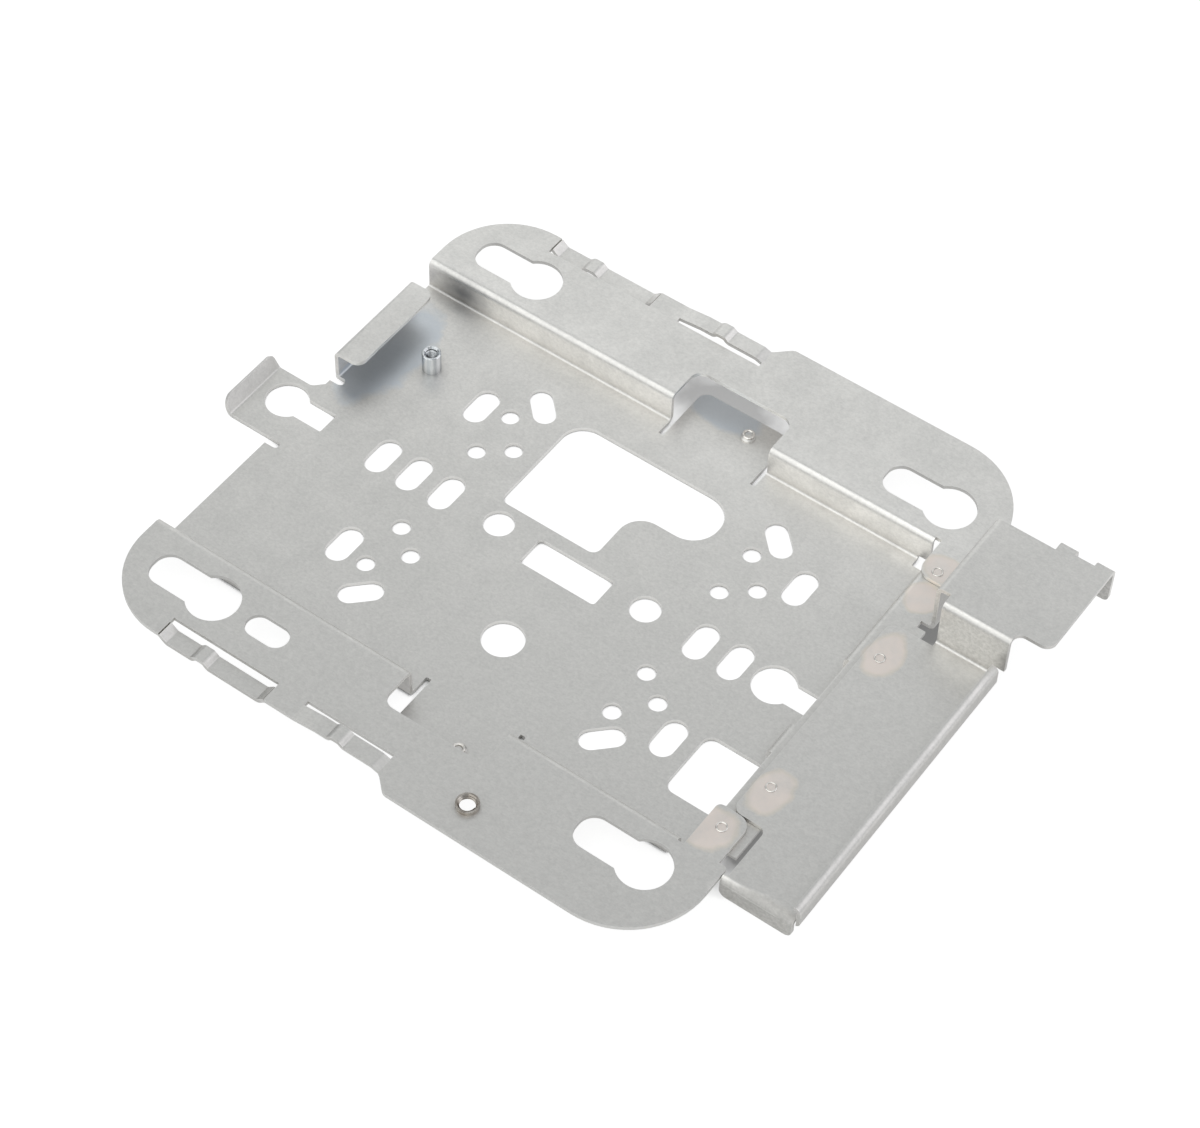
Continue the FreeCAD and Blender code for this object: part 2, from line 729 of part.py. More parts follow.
def flange_holes():
    """Cutters for the flange keyholes, the short slot and the insert's hole."""
    cutters = []
    for side in (-1, 1):
        for x in (flange_keyhole_left, flange_keyhole_right):
            cutters.append(keyhole_cut(x, side * flange_keyhole_row, flange_keyhole_radius,
                                       flange_keyhole_width, x - flange_keyhole_reach,
                                       flange_keyhole_end_radius))
    cutters.append(slot_cut(short_slot_x, -flange_keyhole_row, short_slot_length,
                            short_slot_width, 0))
    cutters.append(cylinder(nut_x, nut_y, nut_collar_diameter, cut_low, cut_high))
    return cutters


def bracket():
    shape = add_strips(add_tongues(pan()))
    pieces = [left_tab(), back_lip(), shelf(), plate_wall(), raised_plate(), tall_wall(), tray()]
    pieces += [hook(hook_left), hook(plate_right - hook_width)]
    shape = shape.cut(tab_reliefs()).multiFuse(pieces + welds())
    for cutter in floor_holes() + floor_windows() + flange_holes():
        shape = shape.cut(cutter)
    return shape.removeSplitter()


def threaded_insert():
    """Clinch nut pressed into the front flange from below, with its collar above the sheet."""
    top = flange_top + nut_collar_rise
    bottom = flange_rise - nut_head_height
    radius = nut_thread_diameter / 2
    collar = cylinder(nut_x, nut_y, nut_collar_diameter, flange_rise, top)
    head = cylinder(nut_x, nut_y, nut_head_diameter, bottom, flange_rise)
    bore = cylinder(nut_x, nut_y, nut_thread_diameter, cut_low, cut_high)
    entry = Part.makeCone(radius + nut_entry_chamfer, radius, nut_entry_chamfer,
                          FreeCAD.Vector(nut_x, nut_y, bottom))
    shape = collar.fuse(head).cut(bore).cut(entry)
    rims = [e for e in shape.Edges
            if e.BoundBox.ZMin > top - 1e-4 and e.BoundBox.XLength < nut_thread_diameter + 0.1]
    return shape.makeChamfer(nut_chamfer, rims).removeSplitter()


def threaded_standoff():
    """Standoff pressed into the floor from below, flush with the underside."""
    top = sheet + standoff_height
    shape = cylinder(standoff_x, standoff_y, standoff_diameter, 0.0, top)
    shape = shape.cut(cylinder(standoff_x, standoff_y, standoff_bore, cut_low, cut_high))
    radius = standoff_bore / 2
    mouth = Part.makeCone(radius, radius + standoff_countersink, standoff_countersink,
                          FreeCAD.Vector(standoff_x, standoff_y, top - standoff_countersink))
    shape = shape.cut(mouth)
    rims = [e for e in shape.Edges
            if e.BoundBox.ZMin > top - 1e-4 and e.BoundBox.XLength > standoff_diameter - 0.1]
    return shape.makeChamfer(standoff_chamfer, rims)


os.makedirs("parts", exist_ok=True)
nodes = {
    "bracket_sheet": bracket(),
    "clinch_nut": threaded_insert(),
    "threaded_standoff": threaded_standoff(),
}
for name, shape in nodes.items():
    shape.exportStep("parts/" + name + ".step")
    extent = shape.BoundBox
    print(name, "solids", len(shape.Solids), "valid", shape.isValid(),
          "volume", round(shape.Volume, 1), "size", round(extent.XLength, 1),
          round(extent.YLength, 1), round(extent.ZLength, 1))
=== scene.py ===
"""Looks of a stamped metal bracket: sheet, weld rings, button rims, threads, stage and camera."""
import json
import math

import bmesh
import bpy
from bpy.props import FloatProperty, FloatVectorProperty, PointerProperty
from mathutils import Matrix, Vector

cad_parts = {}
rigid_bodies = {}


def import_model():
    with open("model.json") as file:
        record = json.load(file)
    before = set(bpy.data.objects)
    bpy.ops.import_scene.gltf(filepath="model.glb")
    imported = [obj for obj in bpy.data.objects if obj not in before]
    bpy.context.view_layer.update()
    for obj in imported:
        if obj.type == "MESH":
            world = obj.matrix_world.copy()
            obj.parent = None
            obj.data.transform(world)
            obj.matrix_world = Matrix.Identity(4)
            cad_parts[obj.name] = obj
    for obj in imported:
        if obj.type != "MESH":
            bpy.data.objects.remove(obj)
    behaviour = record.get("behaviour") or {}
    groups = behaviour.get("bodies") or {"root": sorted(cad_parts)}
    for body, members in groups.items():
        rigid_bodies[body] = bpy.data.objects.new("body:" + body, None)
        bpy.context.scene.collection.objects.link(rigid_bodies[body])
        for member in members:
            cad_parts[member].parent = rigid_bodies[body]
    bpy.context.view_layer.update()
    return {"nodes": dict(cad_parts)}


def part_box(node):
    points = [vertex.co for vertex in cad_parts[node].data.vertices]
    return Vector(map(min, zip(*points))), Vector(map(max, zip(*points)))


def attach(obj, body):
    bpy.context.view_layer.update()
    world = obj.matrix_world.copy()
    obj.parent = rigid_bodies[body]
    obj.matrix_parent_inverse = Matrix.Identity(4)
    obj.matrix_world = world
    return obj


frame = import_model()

bl_info = {
    "name": "Stamped metal bracket",
    "version": (1, 0, 0),
    "blender": (4, 5, 0),
    "location": "3D View > Sidebar > Bracket",
    "description": "Finishes a stamped metal bracket and sets its stage and camera",
    "category": "Object",
}

MM = 0.001

# Spot welds: middle of each ring mark, in millimetres
WELDS = {
    "front_ear": (81.8, -49.6, 10.7),
    "rear_ear": (81.8, 49.5, 10.7),
    "front_tray": (84.9, -32.6, 10.7),
    "rear_tray": (84.9, 17.0, 10.7),
}
WELD_RING_FLATNESS = 1.3  # width of a ring's section over its height

# Pressed buttons on the two tongues: middle of the top, in millimetres
BUTTONS = {
    "front_button": (12.2, -65.0, 2.1),
    "rear_button": (12.2, 65.0, 2.1),
}
BUTTON_RIM_RADIUS = 1.4 * MM
BUTTON_RIM_SECTION_RADIUS = 0.45 * MM

# Threads: radius at the root, and the bore left plain at the bottom and at the top
THREADS = {
    "threaded_standoff": (1.7 * MM, 0.6 * MM, 0.5 * MM),
    "clinch_nut": (2.42 * MM, 1.1 * MM, 0.3 * MM),
}
THREAD_FOOT = 0.02 * MM  # depth of the ridge's foot in the metal
THREAD_HALF_WIDTH = 0.42  # half of the foot's width, as a share of the pitch
THREAD_STEPS = 28  # steps in one turn

# Marks on the metal, painted bluish shades and a painted dark reflection among them: middle and
# half size of each patch, in millimetres
HEAT_TINTS = [
    ((79.5, -51.5, 10.0), (8.5, 8.0, 2.0)),
    ((82.0, 51.0, 10.0), (6.0, 5.5, 2.0)),
    ((85.8, -34.0, 10.0), (6.2, 8.8, 2.0)),
    ((85.2, 18.6, 10.0), (6.2, 9.0, 2.0)),
    ((82.6, 41.0, 9.4), (5.5, 6.0, 2.0)),
]
# Painted bluish shade on the floor beside the back lip and on the rear tongue under the rear
# flange's notch
BLUE_SHADES = [
    ((-85.0, 30.0, 1.2), (11.0, 22.0, 3.0)),
    ((2.0, 69.0, 1.2), (13.0, 7.0, 3.0)),
]
# Painted dark reflection on the rear wall's left end
DARK_REFLECTIONS = [
    ((-80.5, 57.6, 5.0), (13.0, 6.0, 7.0)),
]
DULL_SPOTS = [
    ((104.0, -64.2, 8.0), (17.0, 5.0, 12.0)),
]

# How strongly each mark, painted shade and painted highlight shows on the sheet, from 0 to 1
WALL_SHADE_SHARE = 0.7
BLUE_SHADE_SHARE = 0.75
DARK_REFLECTION_SHARE = 0.85
HEAT_RIM_SHARE = 0.16
CUT_HIGHLIGHT_SHARE = 0.5
SHEET_FOLD_SHADE_SHARE = 0.5

# What the mottling, the rubbed edges and the dull spot change in the sheet's roughness
MOTTLE_ROUGHNESS = (-0.03, 0.05)
EDGE_POLISH = 0.14
DULL_SPOT_ROUGHNESS = 0.35

# Gains that fit 200 mm of length and 20 mm of height into a ramp
LENGTH_GAIN = 5.0
HEIGHT_GAIN = 50.0

# Painted light on the sheet, brighter from front to rear: place along Y in millimetres, and
# brightness
PAINTED_LIGHT_TONES = [(-80.0, 0.92), (0.0, 0.97), (36.0, 1.01), (54.0, 1.12), (72.0, 1.06)]
RAISED_FROM = 12.0 * MM  # above this height the tone is read further to the front
RAISED_SHIFT = 2.6  # how much further, for each unit of height

# Where the painted highlight on the sheet's cut edges lies: height, and distance along X, in
# millimetres, with the mask
CUT_EDGE_HEIGHTS = [(1.32, 1.0), (1.36, 0.0), (8.9, 0.0), (9.0, 1.0), (11.0, 1.0), (11.1, 0.0)]
CUT_EDGE_LENGTHS = [(106.0, 1.0), (107.0, 0.0)]

# Where the painted shade on the walls grows to its full strength: distance along X in
# millimetres, and mask
WALL_SHADE_LENGTHS = [(76.0, 0.25), (84.0, 1.0)]

# Painted shade in folds: how far it reaches, and its look on turned metal
SHEET_FOLD_SHADE_REACH = 4.5 * MM
TURNED_FOLD_SHADE_REACH = 3.5 * MM
TURNED_FOLD_SHADE_SHARE = 0.7
TURNED_FOLD_SHADE_DARKNESS = 0.16  # its colour over the metal's dark colour
TURNED_EDGE_GAIN = 1.15  # brightness of a rubbed edge over the metal's

# Shades on the ground, as patches: deep ones under the tray, a light one under the rear notch
DEEP_SHADES = [
    ((87.0, 40.0, 0.0), (12.0, 15.0, 6.0)),
    ((87.0, -44.0, 0.0), (11.5, 18.0, 6.0)),
]
DEEP_SHADE_SHARE = 0.86
LIGHT_SHADES = [
    ((0.0, 71.0, 0.0), (31.0, 17.0, 6.0)),
]
LIGHT_SHADE_SHARE = 0.66

# The ground below the pan, which the cut edges of its holes mirror more brightly
PAN_GROUND = [
    ((-10.0, 0.0, 0.0), (105.0, 66.0, 6.0)),
]
MIRRORED_IN_HOLES = 0.45
MIRRORED_MORE_IN_PAN = 0.3

# The ground's size and grey, and how near the bracket has to be to close it off
GROUND_SIZE = 8.0
GROUND_DROP = 0.2 * MM
GROUND_GREY = (0.26, 0.26, 0.26, 1.0)
GAP_REACH = 3.0 * MM
MIRRORED_REACH = 60.0 * MM

# Lamps: name, place, side length, power and colour
LAMPS = [
    ("overhead_softbox", (0.22, -0.30, 1.15), 1.1, 2.4, (1.0, 1.0, 0.98)),
    ("front_softbox", (-0.30, -0.85, 1.00), 1.9, 8.8, (1.0, 1.0, 0.97)),
    ("rear_softbox", (-0.67, 0.96, 0.675), 1.3, 2.7, (1.0, 1.0, 0.97)),
    ("side_softbox", (0.84, 0.656, 0.746), 1.2, 3.4, (1.0, 0.98, 1.0)),
]
STUDIO_COLOUR = (0.94, 0.975, 1.0, 1.0)
STUDIO_STRENGTH = 0.40

# Camera: lens and sensor in millimetres, place in metres, turn in degrees
FOCAL_LENGTH = 99.14
SENSOR_WIDTH = 36.0
CAMERA_PLACE = (0.3094, -0.44004, 0.68699)
CAMERA_TURN = (38.141, -1.2398, 35.892)


class BracketSizes(bpy.types.PropertyGroup):
    thread_pitch: FloatProperty(
        name="Thread pitch", description="Distance from one thread crest to the next",
        default=0.7 * MM, min=0.2 * MM, max=2.0 * MM, precision=5, unit="LENGTH")
    thread_depth: FloatProperty(
        name="Thread depth", description="Height of a thread crest above its root",
        default=0.32 * MM, min=0.05 * MM, max=0.8 * MM, precision=5, unit="LENGTH")
    weld_ring_diameter: FloatProperty(
        name="Weld ring diameter", description="Diameter of the electrode's mark at a spot weld",
        default=2.7 * MM, min=1.0 * MM, max=8.0 * MM, precision=5, unit="LENGTH")
    weld_ring_height: FloatProperty(
        name="Weld ring height", description="Height of the electrode's mark above the sheet",
        default=0.2 * MM, min=0.02 * MM, max=0.5 * MM, precision=5, unit="LENGTH")


class BracketFinish(bpy.types.PropertyGroup):
    sheet_colour: FloatVectorProperty(
        name="Sheet colour", description="Colour of the galvanised sheet",
        default=(0.80, 0.787, 0.765), min=0.0, max=1.0, size=3, subtype="COLOR")
    sheet_dark_colour: FloatVectorProperty(
        name="Sheet mottle colour", description="Darker colour of the sheet's mottling",
        default=(0.755, 0.745, 0.725), min=0.0, max=1.0, size=3, subtype="COLOR")
    wall_shade_colour: FloatVectorProperty(
        name="Wall shade colour", description="Colour of the painted shade on the walls that face along Y",
        default=(0.56, 0.555, 0.53), min=0.0, max=1.0, size=3, subtype="COLOR")
    blue_shade_colour: FloatVectorProperty(
        name="Blue shade colour", description="Colour of the painted bluish shade beside the back lip and on the rear tongue",
        default=(0.68, 0.735, 0.80), min=0.0, max=1.0, size=3, subtype="COLOR")
    dark_reflection_colour: FloatVectorProperty(
        name="Dark reflection colour", description="Colour of the painted dark reflection on the rear wall's left end",
        default=(0.17, 0.175, 0.19), min=0.0, max=1.0, size=3, subtype="COLOR")
    heat_colour: FloatVectorProperty(
        name="Heat tint colour", description="Colour of the sheet around the welds",
        default=(0.93, 0.845, 0.79), min=0.0, max=1.0, size=3, subtype="COLOR")
    heat_rim_colour: FloatVectorProperty(
        name="Heat rim colour", description="Colour of the rim of each heat tint",
        default=(0.72, 0.66, 0.46), min=0.0, max=1.0, size=3, subtype="COLOR")
    edge_wear_and_highlight_colour: FloatVectorProperty(
        name="Edge wear and highlight colour", description="Colour of the rubbed edges and of the painted highlight on the cut edges",
        default=(0.90, 0.90, 0.88), min=0.0, max=1.0, size=3, subtype="COLOR")
    fold_shade_colour: FloatVectorProperty(
        name="Fold shade colour", description="Colour of the painted shade in the sheet's folds",
        default=(0.40, 0.375, 0.34), min=0.0, max=1.0, size=3, subtype="COLOR")
    weld_colour: FloatVectorProperty(
        name="Weld mark colour", description="Colour of the weld rings and the button rims",
        default=(0.95, 0.92, 0.88), min=0.0, max=1.0, size=3, subtype="COLOR")
    zinc_colour: FloatVectorProperty(
        name="Bright zinc colour", description="Colour of the standoff",
        default=(0.80, 0.82, 0.84), min=0.0, max=1.0, size=3, subtype="COLOR")
    nut_colour: FloatVectorProperty(
        name="Nut colour", description="Colour of the clinch nut",
        default=(0.72, 0.68, 0.63), min=0.0, max=1.0, size=3, subtype="COLOR")
    sheet_roughness: FloatProperty(
        name="Sheet roughness", description="How matt the sheet is",
        default=0.42, min=0.05, max=1.0, subtype="FACTOR")


# Node helpers

def add(tree, kind, at, **settings):
    """Adds a node and sets its plain properties."""
    made = tree.nodes.new(kind)
    made.location = at
    for name, value in settings.items():
        setattr(made, name, value)
    return made


def feed(tree, socket, value):
    """Links a socket to an input, or sets the input to a plain value."""
    if isinstance(value, bpy.types.NodeSocket):
        tree.links.new(value, socket)
    else:
        socket.default_value = value


def maths(tree, operation, at, first, second=None, third=None, clamp=False):
    """Adds a Math node; each input is a socket or a number."""
    made = add(tree, "ShaderNodeMath", at, operation=operation, use_clamp=clamp)
    for slot, value in enumerate((first, second, third)):
        if value is not None:
            feed(tree, made.inputs[slot], value)
    return made.outputs[0]


def vector_maths(tree, operation, at, first, second=None):
    """Adds a Vector Math node on sockets, and returns it."""
    made = add(tree, "ShaderNodeVectorMath", at, operation=operation)
    tree.links.new(first, made.inputs[0])
    if second is not None:
        tree.links.new(second, made.inputs[1])
    return made


def blend_colours(tree, at, factor, first, second, blend_type="MIX"):
    """Adds a colour Mix node; factor is a socket or a number, the others sockets or colours."""
    made = add(tree, "ShaderNodeMix", at, data_type="RGBA", blend_type=blend_type)
    for name, value in (("Factor_Float", factor), ("A_Color", first), ("B_Color", second)):
        if not isinstance(value, (int, float, bpy.types.NodeSocket)):
            value = (*value, 1.0)
        feed(tree, next(s for s in made.inputs if s.identifier == name), value)
    return next(s for s in made.outputs if s.identifier == "Result_Color")


def ramp(tree, at, source, stops):
    """Adds a grey ramp with (position, value) stops."""
    made = add(tree, "ShaderNodeValToRGB", at)
    elements = made.color_ramp.elements
    while len(elements) < len(stops):
        elements.new(0.5)
    for element, (position, value) in zip(elements, stops):
        element.position = position
        element.color = (value, value, value, 1.0)
    tree.links.new(source, made.inputs[0])
    return made.outputs[0]


def ramp_by_place(tree, at, source, gain, stops, middle=0.0):
    """Adds a grey ramp with (millimetres, value) stops; gain and middle fit them into it."""
    fitted = maths(tree, "MULTIPLY_ADD", (at[0] - 200, at[1]), source, gain, middle)
    return ramp(tree, at, fitted, [(stop * MM * gain + middle, value) for stop, value in stops])


def noise(tree, at, place, scale, detail=2.0, roughness=0.5, distortion=0.0):
    """Adds a Noise texture that reads place; scale is a socket or a number."""
    made = add(tree, "ShaderNodeTexNoise", at)
    feed(tree, made.inputs["Scale"], scale)
    made.inputs["Detail"].default_value = detail
    made.inputs["Roughness"].default_value = roughness
    made.inputs["Distortion"].default_value = distortion
    tree.links.new(place, made.inputs["Vector"])
    return made.outputs[0]


def stretch(tree, at, place, scale):
    """Adds a Mapping node that scales place along its axes."""
    made = add(tree, "ShaderNodeMapping", at)
    made.inputs["Scale"].default_value = scale
    tree.links.new(place, made.inputs["Vector"])
    return made.outputs[0]


def parts_of(tree, at, vector):
    """Splits a vector, and returns its X, Y and Z sockets by name."""
    made = add(tree, "ShaderNodeSeparateXYZ", at)
    tree.links.new(vector, made.inputs[0])
    return made.outputs


def new_group(name, inputs, outputs):
    """Starts a shader node group with named sockets, and returns it with its two end nodes."""
    tree = bpy.data.node_groups.new(name, "ShaderNodeTree")
    for label, kind, value in inputs:
        socket = tree.interface.new_socket(label, in_out="INPUT", socket_type=kind)
        if value is not None:
            socket.default_value = value
    for label in outputs:
        tree.interface.new_socket(label, in_out="OUTPUT", socket_type="NodeSocketFloat")
    start = add(tree, "NodeGroupInput", (-1200, 0))
    end = add(tree, "NodeGroupOutput", (900, 0))
    return tree, start, end


# Node groups that the materials share

def rolled_grain():
    """Node group: fine grain drawn out along X, cloudy mottling, and flecks."""
    tree, start, end = new_group(
        "Rolled grain",
        [("Vector", "NodeSocketVector", None),
         ("Grain scale", "NodeSocketFloat", 2200.0),
         ("Mottle scale", "NodeSocketFloat", 90.0)],
        ["Grain", "Mottle", "Fleck"])
    place = start.outputs["Vector"]
    drawn = stretch(tree, (-950, 200), place, (0.55, 1.0, 1.0))
    grain = noise(tree, (-650, 300), drawn, start.outputs["Grain scale"], 3.0, 0.6)
    mottle = noise(tree, (-650, 0), place, start.outputs["Mottle scale"], 5.0, 0.62, 0.4)
    fleck = noise(tree, (-650, -300), place, 900.0, 4.0, 0.7)
    clouds = ramp(tree, (-350, 0), mottle, [(0.36, 0.0), (0.64, 1.0)])
    specks = ramp(tree, (-350, -300), fleck, [(0.38, 0.0), (0.66, 1.0)])
    tree.links.new(grain, end.inputs["Grain"])
    tree.links.new(clouds, end.inputs["Mottle"])
    tree.links.new(specks, end.inputs["Fleck"])


def edge_wear():
    """Node group: a mask of rubbed edges, uneven along their length."""
    tree, start, end = new_group(
        "Edge wear",
        [("Vector", "NodeSocketVector", None),
         ("Width", "NodeSocketFloat", 0.0005),
         ("Strength", "NodeSocketFloat", 1.0)],
        ["Mask"])
    soft = add(tree, "ShaderNodeBevel", (-900, 200), samples=4)
    tree.links.new(start.outputs["Width"], soft.inputs["Radius"])
    sharp = add(tree, "ShaderNodeNewGeometry", (-900, 0)).outputs["Normal"]
    alike = vector_maths(tree, "DOT_PRODUCT", (-650, 100), soft.outputs[0], sharp)
    bent = maths(tree, "SUBTRACT", (-450, 100), 1.0, alike.outputs["Value"], clamp=True)
    rise = maths(tree, "MULTIPLY", (-250, 100), bent, 7.0, clamp=True)
    uneven = noise(tree, (-650, -200), start.outputs["Vector"], 260.0, 3.0)
    worn = ramp(tree, (-350, -200), uneven, [(0.3, 0.45), (0.62, 1.0)])
    both = maths(tree, "MULTIPLY", (0, 0), rise, worn)
    mask = maths(tree, "MULTIPLY", (250, 0), both, start.outputs["Strength"], clamp=True)
    tree.links.new(mask, end.inputs["Mask"])


def fold_shade():
    """Node group: a mask of painted shade in folds and under laps."""
    tree, start, end = new_group("Fold shade", [("Reach", "NodeSocketFloat", 0.008)], ["Mask"])
    closed = add(tree, "ShaderNodeAmbientOcclusion", (-700, 0), samples=6)
    tree.links.new(start.outputs["Reach"], closed.inputs["Distance"])
    mask = ramp(tree, (-400, 0), closed.outputs["AO"], [(0.25, 1.0), (0.55, 0.42), (0.95, 0.0)])
    tree.links.new(mask, end.inputs["Mask"])


def painted_wall_shade():
    """Node group: a speckled mask of painted shade on the walls that face along Y."""
    tree, start, end = new_group("Wall shade", [("Vector", "NodeSocketVector", None)], ["Mask"])
    place = start.outputs["Vector"]
    facing = add(tree, "ShaderNodeNewGeometry", (-950, 200)).outputs["Normal"]
    sideways = maths(tree, "ABSOLUTE", (-550, 200), parts_of(tree, (-750, 200), facing)["Y"])
    wall = ramp(tree, (-350, 200), sideways, [(0.8, 0.0), (0.95, 1.0)])
    fine = noise(tree, (-650, -100), place, 950.0, 4.0, 0.75)
    speckle = ramp(tree, (-350, -100), fine, [(0.40, 0.0), (0.62, 1.0)])
    along = parts_of(tree, (-750, -350), place)
    right_end = ramp_by_place(tree, (-350, -350), along["X"], LENGTH_GAIN, WALL_SHADE_LENGTHS)
    both = maths(tree, "MULTIPLY", (0, 0), wall, speckle)
    mask = maths(tree, "MULTIPLY", (250, 0), both, right_end)
    tree.links.new(mask, end.inputs["Mask"])


def cut_edge_highlight():
    """Node group: a mask of painted highlight on the sheet's upright cut edges, in the holes and
    round the outline.
    """
    tree, start, end = new_group("Cut edge highlight", [("Vector", "NodeSocketVector", None)], ["Mask"])
    facing = add(tree, "ShaderNodeNewGeometry", (-950, 200)).outputs["True Normal"]
    upward = maths(tree, "ABSOLUTE", (-550, 200), parts_of(tree, (-750, 200), facing)["Z"])
    upright = ramp(tree, (-350, 200), upward, [(0.15, 1.0), (0.35, 0.0)])
    along = parts_of(tree, (-750, -200), start.outputs["Vector"])
    level = ramp_by_place(tree, (-350, -100), along["Z"], HEIGHT_GAIN, CUT_EDGE_HEIGHTS)
    before_lip = ramp_by_place(tree, (-350, -350), along["X"], LENGTH_GAIN, CUT_EDGE_LENGTHS)
    both = maths(tree, "MULTIPLY", (0, 0), upright, level)
    mask = maths(tree, "MULTIPLY", (250, 0), both, before_lip)
    tree.links.new(mask, end.inputs["Mask"])


def soft_patch():
    """Node group: four masks of one patch with a ragged outline.

    Patch is even up to the outline, Rim is a band along it, Near falls off from the middle,
    and Shade falls off from a third of the way out.
    """
    tree, start, end = new_group(
        "Soft patch",
        [("Vector", "NodeSocketVector", None),
         ("Middle", "NodeSocketVector", (0.0, 0.0, 0.0)),
         ("Half size", "NodeSocketVector", (0.01, 0.01, 0.01))],
        ["Patch", "Rim", "Near", "Shade"])
    place = start.outputs["Vector"]
    apart = vector_maths(tree, "SUBTRACT", (-950, 100), place, start.outputs["Middle"])
    share = vector_maths(tree, "DIVIDE", (-750, 100), apart.outputs[0],
                         start.outputs["Half size"])
    length = vector_maths(tree, "LENGTH", (-550, 100), share.outputs[0])
    ragged = noise(tree, (-750, -200), place, 160.0, 3.0)
    shift = maths(tree, "MULTIPLY_ADD", (-550, -200), ragged, 0.5, -0.25)
    reach = maths(tree, "ADD", (-350, 0), length.outputs["Value"], shift)
    falls = {
        "Patch": [(0.80, 1.0), (1.0, 0.0)],
        "Rim": [(0.74, 0.0), (0.88, 1.0), (1.0, 0.0)],
        "Near": [(0.05, 1.0), (0.45, 0.55), (1.0, 0.0)],
        "Shade": [(0.35, 1.0), (1.0, 0.0)],
    }
    for step, (name, stops) in enumerate(falls.items()):
        tree.links.new(ramp(tree, (-150, 100 - 300 * step), reach, stops), end.inputs[name])


SHARED_GROUPS = {"Rolled grain": rolled_grain, "Edge wear": edge_wear, "Fold shade": fold_shade,
                 "Wall shade": painted_wall_shade, "Cut edge highlight": cut_edge_highlight, "Soft patch": soft_patch}


def place_group(tree, name, at, **values):
    """Places a shared node group, built at its first use; values are plain or sockets."""
    if name not in bpy.data.node_groups:
        SHARED_GROUPS[name]()
    made = add(tree, "ShaderNodeGroup", at, node_tree=bpy.data.node_groups[name])
    for label, value in values.items():
        feed(tree, made.inputs[label.replace("_", " ")], value)
    return made


def patch_masks(tree, spots, names, place, at):
    """Places a soft patch on each spot, and returns their joint mask for each of the names."""
    patches = [place_group(tree, "Soft patch", (at[0], at[1] - 220 * index), Vector=place,
                           Middle=Vector(middle) * MM, Half_size=Vector(half) * MM)
               for index, (middle, half) in enumerate(spots)]
    masks = []
    for step, name in enumerate(names):
        joint, *others = (patch.outputs[name] for patch in patches)
        for index, other in enumerate(others):
            corner = (at[0] + 300 + 150 * step, at[1] - 220 * index)
            joint = maths(tree, "MAXIMUM", corner, joint, other)
        masks.append(joint)
    return masks


# Materials

def start_tree(holder, output_kind, at):
    """Gives a material or a world an empty node tree, and returns it with its output node."""
    holder.use_nodes = True
    tree = holder.node_tree
    tree.nodes.clear()
    return tree, add(tree, output_kind, at)


def new_metal(name):
    """Starts a metal with its Principled shader, and returns what its looks are built on."""
    material = bpy.data.materials.new(name)
    tree, output = start_tree(material, "ShaderNodeOutputMaterial", (1200, 0))
    shader = add(tree, "ShaderNodeBsdfPrincipled", (900, 0))
    shader.inputs["Metallic"].default_value = 1.0
    tree.links.new(shader.outputs[0], output.inputs["Surface"])
    place = add(tree, "ShaderNodeTexCoord", (-1300, 0)).outputs["Object"]
    return material, tree, shader, place


def link_looks(tree, shader, colour, rough, height, strength, distance):
    """Links the colour, the roughness and a bump of that height to a metal's shader."""
    bump = add(tree, "ShaderNodeBump", (550, -400))
    bump.inputs["Strength"].default_value = strength
    bump.inputs["Distance"].default_value = distance
    tree.links.new(height, bump.inputs["Height"])
    tree.links.new(colour, shader.inputs["Base Color"])
    tree.links.new(rough, shader.inputs["Roughness"])
    tree.links.new(bump.outputs[0], shader.inputs["Normal"])


def painted_light_tone(tree, place):
    """Painted light on the sheet, which brightens it from the front to the rear wall."""
    along = parts_of(tree, (-1300, 1300), place)
    above = maths(tree, "SUBTRACT", (-1150, 1500), along["Z"], RAISED_FROM)
    raised = maths(tree, "MAXIMUM", (-1000, 1500), above, 0.0)
    shift = maths(tree, "MULTIPLY", (-1150, 1700), raised, RAISED_SHIFT)
    behind = maths(tree, "SUBTRACT", (-1000, 1700), along["Y"], shift)
    return ramp_by_place(tree, (-700, 1300), behind, LENGTH_GAIN, PAINTED_LIGHT_TONES, 0.5)


def rolled_colour(tree, place, grain, finish):
    """Colour of the plain sheet: mottling, drawn grain, flecks, and painted light that brightens
    it from front to rear.
    """
    colour = blend_colours(tree, (-700, 400), grain.outputs["Mottle"],
                           finish.sheet_colour, finish.sheet_dark_colour)
    streak = ramp(tree, (-700, 100), grain.outputs["Grain"], [(0.3, 0.955), (0.7, 1.045)])
    specks = ramp(tree, (-700, 650), grain.outputs["Fleck"], [(0.0, 1.02), (1.0, 0.93)])
    for step, tone in enumerate((streak, specks, painted_light_tone(tree, place))):
        colour = blend_colours(tree, (-450, 400 + 450 * step), 1.0, colour, tone, "MULTIPLY")
    return colour


